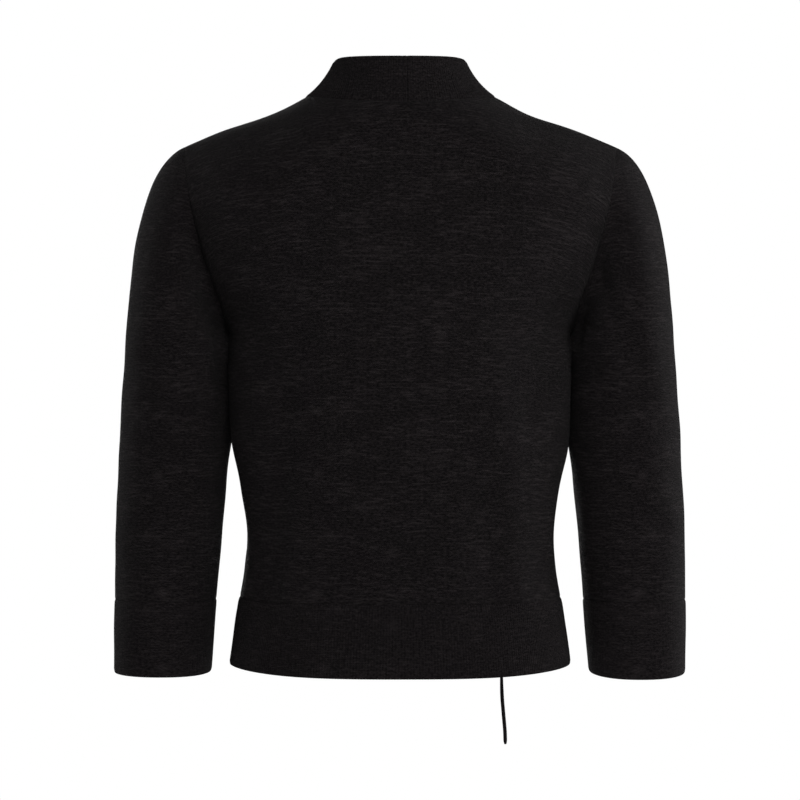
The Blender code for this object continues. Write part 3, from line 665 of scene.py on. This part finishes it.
def knit_cloth(cloth):
    """Fine knit, taken for unbrushed merino: rows of small V stitches whose yarn is thicker here and
    there, which gives short pale streaks along the rows, and a faint nap. It is matt."""
    _, tree = empty_material(cloth["name"])
    uv = add(tree, "ShaderNodeUVMap", {"uv_map": "cloth"})
    split = add(tree, "ShaderNodeSeparateXYZ", links={0: uv.outputs[0]})
    # The stitches, worked out step by step from the place: each step's name, operation and inputs.
    steps = {"u": split.outputs[0], "v": split.outputs[1]}
    for name, operation, *inputs in (
        ("across", "MULTIPLY", "u", 1 / WALE),
        ("up", "MULTIPLY", "v", 1 / COURSE),
        ("part", "FRACT", "across"),
        ("middle", "SUBTRACT", "part", 0.5),
        ("leg", "ABSOLUTE", "middle"),
        ("slant", "MULTIPLY_ADD", "leg", STITCH_SLANT, "up"),
        ("turn", "MULTIPLY", "slant", 2 * math.pi),
        ("loop", "SINE", "turn"),
        ("leg_turn", "MULTIPLY", "leg", 2 * math.pi),
        ("leg_round", "SINE", "leg_turn"),
        ("stitch", "MULTIPLY_ADD", "loop", ROW_WAVE, "leg_round"),
    ):
        values = {i: given for i, given in enumerate(inputs) if not isinstance(given, str)}
        feeds = {i: steps[given] for i, given in enumerate(inputs) if isinstance(given, str)}
        node = add(tree, "ShaderNodeMath", {"operation": operation, **values}, feeds)
        steps[name] = node.outputs[0]

    grains = {}
    for name, grain in GRAINS.items():
        length, high = grain["size"]
        at = add(tree, "ShaderNodeMapping", {"Scale": (1 / length, 1 / high, 1)},
                 {"Vector": uv.outputs[0]})
        grains[name] = add(
            tree, "ShaderNodeTexNoise",
            {"Scale": 1.0, "Detail": grain["detail"], "Roughness": grain["rough"]},
            {"Vector": at.outputs[0]},
        )
    both = add(tree, "ShaderNodeMath", {"operation": "MULTIPLY_ADD", 1: PATCH_SHARE},
               {0: grains["patch"].outputs[0], 2: grains["slub"].outputs[0]})
    slub = add(tree, "ShaderNodeMapRange",
               {"From Min": SLUB_FROM, "From Max": SLUB_FULL, "To Max": cloth["slubs"]},
               {"Value": both.outputs[0]})
    fuzz = add(tree, "ShaderNodeMapRange",
               {"From Min": FUZZ_FROM, "From Max": FUZZ_FULL, "To Max": FUZZ},
               {"Value": grains["fibre"].outputs[0]})
    pale = add(tree, "ShaderNodeMath", {"operation": "ADD", "use_clamp": True},
               {0: slub.outputs[0], 1: fuzz.outputs[0]})
    tint = add(tree, "ShaderNodeMix", {"data_type": "RGBA", 6: colour(cloth["dark"]),
                                       7: colour(PALE)}, {0: pale.outputs[0]})
    relief = add(tree, "ShaderNodeMath", {"operation": "MULTIPLY_ADD", 1: SLUB_RELIEF},
                 {0: slub.outputs[0], 2: steps["stitch"]})
    bump = add(tree, "ShaderNodeBump", {"Strength": 1.0, "Distance": cloth["stitch"]},
               {"Height": relief.outputs[0]})
    shader = add(
        tree, "ShaderNodeBsdfPrincipled",
        {"Roughness": 0.9, "Specular IOR Level": 0.06, "Sheen Weight": 0.016,
         "Sheen Roughness": 0.4},
        {"Base Color": tint.outputs[2], "Normal": bump.outputs[0]},
    )
    add(tree, "ShaderNodeOutputMaterial", links={"Surface": shader.outputs[0]})


def cord_material():
    """Knitted black cord: an even grain with no slubs, and a little more sheen than the cloth."""
    material, tree = empty_material("tie_cord_knit")
    place = add(tree, "ShaderNodeTexCoord")
    fibre = add(tree, "ShaderNodeTexNoise", {"Scale": CORD_GRAINS, "Detail": 2.0},
                {"Vector": place.outputs["Object"]})
    tint = add(tree, "ShaderNodeMix", {"data_type": "RGBA", 6: colour(CORD_DARK),
                                       7: colour(PALE)}, {0: fibre.outputs[0]})
    bump = add(tree, "ShaderNodeBump", {"Distance": CORD_RELIEF}, {"Height": fibre.outputs[0]})
    shader = add(
        tree, "ShaderNodeBsdfPrincipled",
        {"Roughness": 0.9, "Specular IOR Level": 0.06, "Sheen Weight": 0.03,
         "Sheen Roughness": 0.35},
        {"Base Color": tint.outputs[2], "Normal": bump.outputs[0]},
    )
    add(tree, "ShaderNodeOutputMaterial", links={"Surface": shader.outputs[0]})
    return material


def paper_white():
    """The studio's white paper: the camera sees it as bright as the white round it, so it has no
    edge, and it throws back no more light than paper does."""
    material, tree = empty_material("studio_paper")
    seen = add(tree, "ShaderNodeLightPath")
    paper = add(tree, "ShaderNodeBsdfDiffuse", {0: colour(PAPER)})
    white = add(tree, "ShaderNodeEmission", {"Strength": 1.0})
    shown = add(tree, "ShaderNodeMixShader", links={
        0: seen.outputs["Is Camera Ray"], 1: paper.outputs[0], 2: white.outputs[0]})
    add(tree, "ShaderNodeOutputMaterial", links={"Surface": shown.outputs[0]})
    return material


# ---- making a shell


def new_object(name, data):
    made = bpy.data.objects.new(name, data)
    bpy.context.scene.collection.objects.link(made)
    return made


def finished(made, name, material):
    """The object that a bmesh turns into."""
    mesh = bpy.data.meshes.new(name)
    made.to_mesh(mesh)
    made.free()
    mesh.shade_smooth()
    mesh.materials.append(material)
    return new_object(name, mesh)


def shell(name, cut, columns, rows, place, field, inside, wrap=False, mirror=False, sink=None):
    """A cloth shell: a grid moved onto the form, sunk where it has a valley, and drawn in and out
    along the form's normals, with a copy of it as the wall's inner side and the cloth's own
    coordinates in metres."""
    c, r = np.meshgrid(np.arange(columns + 1) / columns, np.arange(rows + 1) / rows,
                       indexing="ij")
    cloth = CLOTHS[CUTS[cut]["cloth"]]
    points = place(c, r)
    if sink:
        points = points - stack(0, sink(points, c), 0)
    out = normals(points, inside, wrap)
    outer = points + out * field(points, c)[..., None]
    inner = outer - out * cloth["wall"]
    if mirror:
        outer, inner = outer * MIRROR, inner * MIRROR
    around = arc_lengths(outer, 0)
    cloth_u = around - around[columns // 2]
    cloth_v = -edge_distance(outer, 1, 1)

    made = bmesh.new()
    bmesh.ops.create_grid(made, x_segments=columns, y_segments=rows, size=0.5)
    uv = made.loops.layers.uv.new("cloth")
    spot = {}
    for vert in made.verts:
        spot[vert] = (round((vert.co.x + 0.5) * columns), round((vert.co.y + 0.5) * rows))
        vert.co = outer[spot[vert]]
    for face in made.faces:
        for loop in face.loops:
            loop[uv].uv = (cloth_u[spot[loop.vert]], cloth_v[spot[loop.vert]])
    if wrap:
        bmesh.ops.remove_doubles(made, verts=made.verts, dist=1e-6)
    across = {vert.co.to_tuple(): inner[spot[vert]] for vert in made.verts}
    sheet = [*made.verts, *made.edges, *made.faces]
    for twin in bmesh.ops.extrude_face_region(made, geom=sheet, use_keep_orig=True)["geom"]:
        if isinstance(twin, bmesh.types.BMVert):
            twin.co = across[twin.co.to_tuple()]
    bmesh.ops.recalc_face_normals(made, faces=made.faces)
    piece = finished(made, name, bpy.data.materials[cloth["name"]])
    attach(piece, "root")
    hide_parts(name.removesuffix("_knit"))


def normals(points, inside, wrap):
    """Outward normals of a grid of points."""
    if wrap:
        ahead = np.roll(points[:-1], -1, axis=0)
        behind = np.roll(points[:-1], 1, axis=0)
        across = np.concatenate([ahead - behind, (ahead - behind)[:1]])
    else:
        across = np.gradient(points, axis=0)
    down = np.gradient(points, axis=1)
    out = np.cross(across, down)
    out /= np.maximum(np.linalg.norm(out, axis=-1, keepdims=True), TINY)
    if np.sum(out * (points - inside(points))) < 0:
        out = -out
    return out


INSIDE_TOP = -0.05  # where the body is deep enough to have an inside


def in_body(points):
    """A place in the body's hollow for each point."""
    return stack(0.0, 0.0, np.minimum(points[..., 2], INSIDE_TOP))


def in_sleeve(points):
    z = np.minimum(points[..., 2], SLEEVE_HEAD_Z)
    middle = (sleeve("outer", z) + sleeve("inner", z)) / 2
    return stack(middle, sleeve("y", z), points[..., 2])


# ---- the pieces of the garment

BACK_COLUMNS = 160
PANEL_ROWS = 156
FRONT_COLUMNS = 110
SLEEVE_COLUMNS = 160
SLEEVE_ROWS = 150
TOP_ROWS = 0.12  # share of a panel's rows that crowd below the shoulder line, where it turns over


def panel_fall(r):
    """How far down a panel each of its rows lies, from 0 at the top to 2 at the hem seam."""
    crowded = np.where(r < TOP_ROWS, r * r / (2 * TOP_ROWS), r - TOP_ROWS / 2)
    return 2 * crowded / (1 - TOP_ROWS / 2)


def panel_field(points, creases, side, left, at_neck, mirrored=False):
    """How a panel's creases, unevenness and seams move it, by the distance from its side."""
    z = points[..., 2]
    beside_arm = z > UNDERARM_Z
    top = edge_distance(points, 1, 0)
    moved = creases + uneven(points, mirrored)
    moved *= np.where(beside_arm, ease(side / SEAM_CALM), 1.0)
    moved *= np.where(at_neck, 1.0, ease(top / SEAM_CALM))
    moved += meeting(z, side, left)
    moved += np.where(at_neck, 1.0, SHOULDER_PULL) * pulled(top, NECK_SEAM)
    moved += pulled(edge_distance(points, 1, 1), HEM_SEAM)
    return moved + np.where(beside_arm, pulled(side, ARM_SEAM), pulled(side, SIDE_SEAM))


def make_back():
    def field(points, c):
        x = points[..., 0]
        at_neck = np.abs(x) < NECK_HALF
        return panel_field(points, body_creases(points, "back"), side_distance(points), x > 0, at_neck)

    def sink(points, c):
        return valley(points[..., 2], side_distance(points), points[..., 0] > 0, VALLEY["body"])

    shell("back_knit", "back", BACK_COLUMNS, PANEL_ROWS,
          lambda c, r: back_place(2 * c - 1, panel_fall(r)), field, in_body, sink=sink)


def make_front(side, over):
    def field(points, c):
        creases = body_creases(points, "front", 1 if over else -1)
        beside = edge_distance(points, 0, 1)
        moved = panel_field(points, creases, beside, over, False, not over)
        return moved + pulled(edge_distance(points, 0, 0), NECK_SEAM)

    def sink(points, c):
        return -valley(points[..., 2], edge_distance(points, 0, 1), over, VALLEY["body"])

    shell(f"front_{side}_knit", "front", FRONT_COLUMNS, PANEL_ROWS,
          lambda c, r: front_place(c, panel_fall(r), over), field, in_body, mirror=not over,
          sink=sink)


def turned(c):
    """The angle round a sleeve of its columns, which start and end at its seam under the arm."""
    return (360 * c + 180) % 360


def make_sleeve(side, over):
    def field(points, c):
        beyond = edge_distance(points, 1, 0) - SEAM_TUCK
        calm = ease(beyond / SEAM_CALM)
        seam = side_distance(points)
        moved = crease_field(CREASES[f"sleeve_{side}"], turned(c), points[..., 2], SLEEVE_ARC)
        moved += uneven(points, not over) + meeting(points[..., 2], seam, over)
        moved += pulled(seam, SIDE_SEAM)
        return moved * calm + pulled(np.abs(beyond), ARM_SEAM) + pulled(
            edge_distance(points, 1, 1), CUFF_SEAM)

    def sink(points, c):
        beyond = np.abs(edge_distance(points, 1, 0) - SEAM_TUCK)
        way = np.where(turned(c) <= 180, 1, -1)
        return way * valley(points[..., 2], beyond, over, VALLEY["sleeve"])

    shell(f"sleeve_{side}_knit", "sleeve", SLEEVE_COLUMNS, SLEEVE_ROWS,
          lambda c, r: sleeve_place(turned(c), mix(-TUCK_FALL, 2, r), over), field, in_sleeve,
          wrap=True, mirror=not over, sink=sink)


def rib_wave(length, run):
    """The relief of upright ribs along a band of the given length, run 0 to 1 along it."""
    ribs = round(length / RIB_PITCH)
    return RIB_RELIEF * np.sin(2 * math.pi * ribs * run)


def rib_columns(length):
    return round(length / RIB_PITCH) * RIB_COLUMNS


# The lengths that ribs are counted on. The bands' own lengths differ from them, so the ribs lie 2.0
# to 2.3 mm apart on the hem, and 2.9 mm on the cuffs.
HEM_BACK_LENGTH = 0.400
HEM_FRONT_LENGTH = 0.290
CUFF_LENGTH = 0.215
HEM_HEIGHT = HEM_SEAM_Z - HEM_Z
CUFF_HANG = {"left": 0.0018, "right": 0.0038}  # how far a cuff bows down before and behind
CUFF_RIB = 0.25  # how strong a cuff's ribs are beside the hem's
CUFF_HEIGHT = CUFF_SEAM_Z - CUFF_Z
BAND_ROWS = 14
EDGE_ROLL = 0.0007
EDGE_REACH = 0.0011


def free_edge(distance):
    """A folded free edge turns in over its last millimetre."""
    return -EDGE_ROLL * np.exp(-((distance / EDGE_REACH) ** 2))


def band_rows(r, width):
    """Spreads a band's rows so that they lie close at its seam and its free edge, and starts them
    behind the seam, above 0."""
    return mix(-SEAM_TUCK / width, 1, (1 - np.cos(math.pi * r)) / 2)


def sewn(points, seam):
    """How a band's sewn edge is drawn in, and tucked behind the piece above it."""
    beyond = edge_distance(points, 1, 0) - SEAM_TUCK
    return pulled(np.abs(beyond), seam) + tucked(-beyond)


def band_field(points, ribs, seam, mirrored=False):
    """How a band stands proud and is uneven, is sewn at its seam, and turns in at its free edge."""
    moved = BAND_PROUD + ribs + sewn(points, seam) + uneven(points, mirrored)
    return moved + free_edge(edge_distance(points, 1, 1))


def hem_field(points, ribs, creases, mirrored=False):
    moved = band_field(points, ribs, HEM_SEAM, mirrored) + creases
    for end in (0, 1):
        moved += pulled(edge_distance(points, 0, end), SIDE_SEAM)
    return moved


def make_hem_back():
    def field(points, c):
        return hem_field(points, rib_wave(HEM_BACK_LENGTH, c), body_creases(points, "back"))

    shell("hem_back_knit", "hem_back", rib_columns(HEM_BACK_LENGTH), BAND_ROWS,
          lambda c, r: hem_back_place(2 * c - 1, band_rows(r, HEM_HEIGHT)), field, in_body)


def make_hem_front(side, over):
    def field(points, c):
        creases = body_creases(points, "front", 1 if over else -1)
        return hem_field(points, rib_wave(HEM_FRONT_LENGTH, c), creases, not over)

    shell(f"hem_{side}_knit", "hem", rib_columns(HEM_FRONT_LENGTH), BAND_ROWS,
          lambda c, r: hem_front_place(c, band_rows(r, HEM_HEIGHT), over), field, in_body,
          mirror=not over)


def make_cuff(side, over):
    def place(c, r):
        angle, down = turned(c), band_rows(r, CUFF_HEIGHT)
        bottom = CUFF_Z - CUFF_HANG[side] * np.abs(np.sin(np.radians(angle)))
        level = sleeve_section(angle, mix(CUFF_SEAM_Z, CUFF_Z, down))
        level[..., 2] = mix(CUFF_SEAM_Z, bottom, down)
        return level

    def field(points, c):
        return band_field(points, CUFF_RIB * rib_wave(CUFF_LENGTH, c), CUFF_SEAM, not over)

    shell(f"cuff_{side}_knit", "cuff", rib_columns(CUFF_LENGTH), BAND_ROWS, place, field, in_sleeve,
          wrap=True, mirror=not over)


def make_collar(side, over):
    start = BAND_JOIN_X / NECK_HALF * (2 / math.pi) * (1 if over else -1)
    runs = np.linspace(start, 4, 2000)
    lengths = arc_lengths(band_place(runs, np.full_like(runs, 0.5), over), 0)

    def place(c, r):
        run = np.interp(c * lengths[-1], lengths, runs)
        return band_place(run, band_rows(r, COLLAR_WIDTH), over)

    def field(points, c):
        moved = band_field(points, rib_wave(lengths[-1], c), NECK_SEAM, not over)
        moved += pulled(edge_distance(points, 0, 0), JOIN_SEAM)
        if not over:
            beside = np.abs(points[..., 0] + BAND_STITCH_X)
            moved += pulled(beside, JOIN_SEAM) * (points[..., 1] > 0)
        return moved

    shell(f"collar_{side}_knit", "collar", rib_columns(lengths[-1]), BAND_ROWS, place, field,
          in_body, mirror=not over)


# ---- the tie


def smooth_line(points, step):
    """Evenly spaced points of a smooth curve through the given ones, and its length."""
    parts = 12
    points = [Vector(p) for p in points]
    ends = [2 * points[0] - points[1]] + points + [2 * points[-1] - points[-2]]
    fine = []
    for a, b, c, d in zip(ends, ends[1:], ends[2:], ends[3:]):
        for i in range(parts):
            t = i / parts
            fine.append(0.5 * (2 * b + (c - a) * t + (2 * a - 5 * b + 4 * c - d) * t * t
                               + (3 * b - a - 3 * c + d) * t ** 3))
    fine.append(points[-1])
    run = [0.0]
    for a, b in zip(fine, fine[1:]):
        run.append(run[-1] + (b - a).length)
    count = max(round(run[-1] / step), 2)
    line = []
    for i in range(count + 1):
        place = run[-1] * i / count
        at = next(k for k in range(1, len(run)) if run[k] >= place - 1e-9)
        share = (place - run[at - 1]) / (run[at] - run[at - 1])
        line.append(fine[at - 1].lerp(fine[at], share))
    return line, run[-1]


def tube(name, line, wide, thick, twist, material):
    """A flat cord: rings along a line, turned by degrees that twist(share) gives, with rounded
    ends. It lies flat towards -Y and +Y at the line's end."""
    around = 12
    count = len(line) - 1
    made = bmesh.new()
    side = Vector((1, 0, 0))
    rings = []
    for i, middle in reversed(list(enumerate(line))):
        along = (line[min(i + 1, count)] - line[max(i - 1, 0)]).normalized()
        side = (side - along * side.dot(along)).normalized()
        other = along.cross(side)
        share = i / count
        turn = math.radians(twist(share))
        flat = side * math.cos(turn) + other * math.sin(turn)
        thin = along.cross(flat)
        near = min(i, count - i)
        full = 1.0 if near > 1 else END_FULLNESS[near]
        ring = []
        for k in range(around):
            angle = 2 * math.pi * k / around
            ring.append(made.verts.new(middle + flat * (math.cos(angle) * wide / 2 * full)
                                       + thin * (math.sin(angle) * thick / 2 * full)))
        rings.append(ring)
    for a, b in zip(rings, rings[1:]):
        edges = [made.edges.get((r[k - 1], r[k])) or made.edges.new((r[k - 1], r[k]))
                 for r in (a, b) for k in range(around)]
        bmesh.ops.bridge_loops(made, edges=edges)
    for ring in (rings[0], rings[-1]):
        made.faces.new(ring)
    bmesh.ops.recalc_face_normals(made, faces=made.faces)
    piece = finished(made, name, material)
    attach(piece, "root")
    return piece


def make_tie(material):
    long_line, long_length = smooth_line([*LEAD_LEFT, KNOT, *TAIL_LONG], TIE_STEP)
    short_line, short_length = smooth_line([*LEAD_RIGHT, KNOT, *TAIL_SHORT], TIE_STEP)

    def left_twist(share):
        return LEFT_TWIST["turn"] * (1 - ease((share - LEFT_TWIST["from"]) / LEFT_TWIST["over"]))

    left = tube("tie_left", long_line, TIE_WIDTH, TIE_THICK, left_twist, material)
    right = tube("tie_right", short_line, TIE_WIDTH, TIE_THICK,
                 lambda share: mix(*RIGHT_TWIST, share), material)
    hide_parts("tie_lead_left", "tie_tail_long")
    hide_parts("tie_lead_right", "tie_tail_short")
    reach = [half - TIE_THICK / 2 for half in KNOT_HALF]
    loop = []
    for i in range(KNOT_STEPS + 1):
        t = 2 * math.pi * i / KNOT_STEPS
        loop.append(Vector((
            KNOT[0] + reach[0] / 3 * (math.sin(t) + 2 * math.sin(2 * t)),
            KNOT[1] - reach[1] * math.sin(3 * t),
            KNOT[2] + reach[2] / 3 * (math.cos(t) - 2 * math.cos(2 * t)),
        )))
    knot = tube("tie_knot_turns", loop, *KNOT_CORD, lambda share: 0, material)
    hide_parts("tie_knot")


# ---- the studio


CAMERA_PLACE = (0.0, 2.33, -0.2636)
CAMERA_LENS = 120.5
FLOOR_Z = -0.62
FLOOR_HALF = 30


def make_camera():
    data = bpy.data.cameras.new("camera")
    data.lens = CAMERA_LENS
    data.sensor_width = 36
    camera = new_object("camera", data)
    camera.location = CAMERA_PLACE
    camera.rotation_euler = (math.pi / 2, 0, math.pi)
    bpy.context.scene.camera = camera


def make_floor():
    made = bmesh.new()
    bmesh.ops.create_grid(made, x_segments=1, y_segments=1, size=FLOOR_HALF)
    bmesh.ops.translate(made, verts=made.verts, vec=(0, 0, FLOOR_Z))
    finished(made, "floor", paper_white())


# Soft boxes: where each stands, how wide it is, and its power. Each faces the garment's middle.
SOFT_BOXES = {
    "back_high": {"place": (-0.3, 2.5, 0.7), "size": 1.6, "power": 38},
    "back_right": {"place": (-1.9, 1.7, 0.2), "size": 1.4, "power": 18},
    "rim_right": {"place": (-2.1, -0.9, 0.0), "size": 1.4, "power": 34},
    "rim_left": {"place": (2.1, -1.2, 0.0), "size": 1.4, "power": 23},
    "front": {"place": (0.4, -2.4, 0.2), "size": 1.6, "power": 45},
}
MIDDLE = (0, 0, -0.25)
WORLD_GLOW = 0.04


def make_lights():
    for name, box in SOFT_BOXES.items():
        data = bpy.data.lights.new(name, "AREA")
        data.shape = "SQUARE"
        data.size = box["size"]
        data.energy = box["power"]
        light = new_object(name, data)
        light.location = box["place"]
        aim = Vector(MIDDLE) - Vector(box["place"])
        light.rotation_euler = aim.to_track_quat("-Z", "Y").to_euler()


def make_world():
    """White all round as the camera sees it, and a faint glow on the garment."""
    world = bpy.data.worlds.new("studio")
    world.use_nodes = True
    tree = world.node_tree
    tree.nodes.clear()
    seen = add(tree, "ShaderNodeLightPath")
    glow = add(tree, "ShaderNodeBackground", {"Color": (1, 1, 1, 1), "Strength": WORLD_GLOW})
    white = add(tree, "ShaderNodeBackground", {"Color": (1, 1, 1, 1), "Strength": 1.0})
    shown = add(tree, "ShaderNodeMixShader", links={
        0: seen.outputs["Is Camera Ray"], 1: glow.outputs[0], 2: white.outputs[0]})
    add(tree, "ShaderNodeOutputWorld", links={"Surface": shown.outputs[0]})
    bpy.context.scene.world = world
    bpy.context.scene.view_settings.view_transform = "Standard"


# ---- all together


def main():
    make_camera()
    for cloth in CLOTHS.values():
        knit_cloth(cloth)
    make_tie(cord_material())
    make_back()
    make_hem_back()
    for side, over in (("left", True), ("right", False)):
        make_front(side, over)
        make_hem_front(side, over)
        make_sleeve(side, over)
        make_cuff(side, over)
        make_collar(side, over)
    make_floor()
    make_lights()
    make_world()


main()
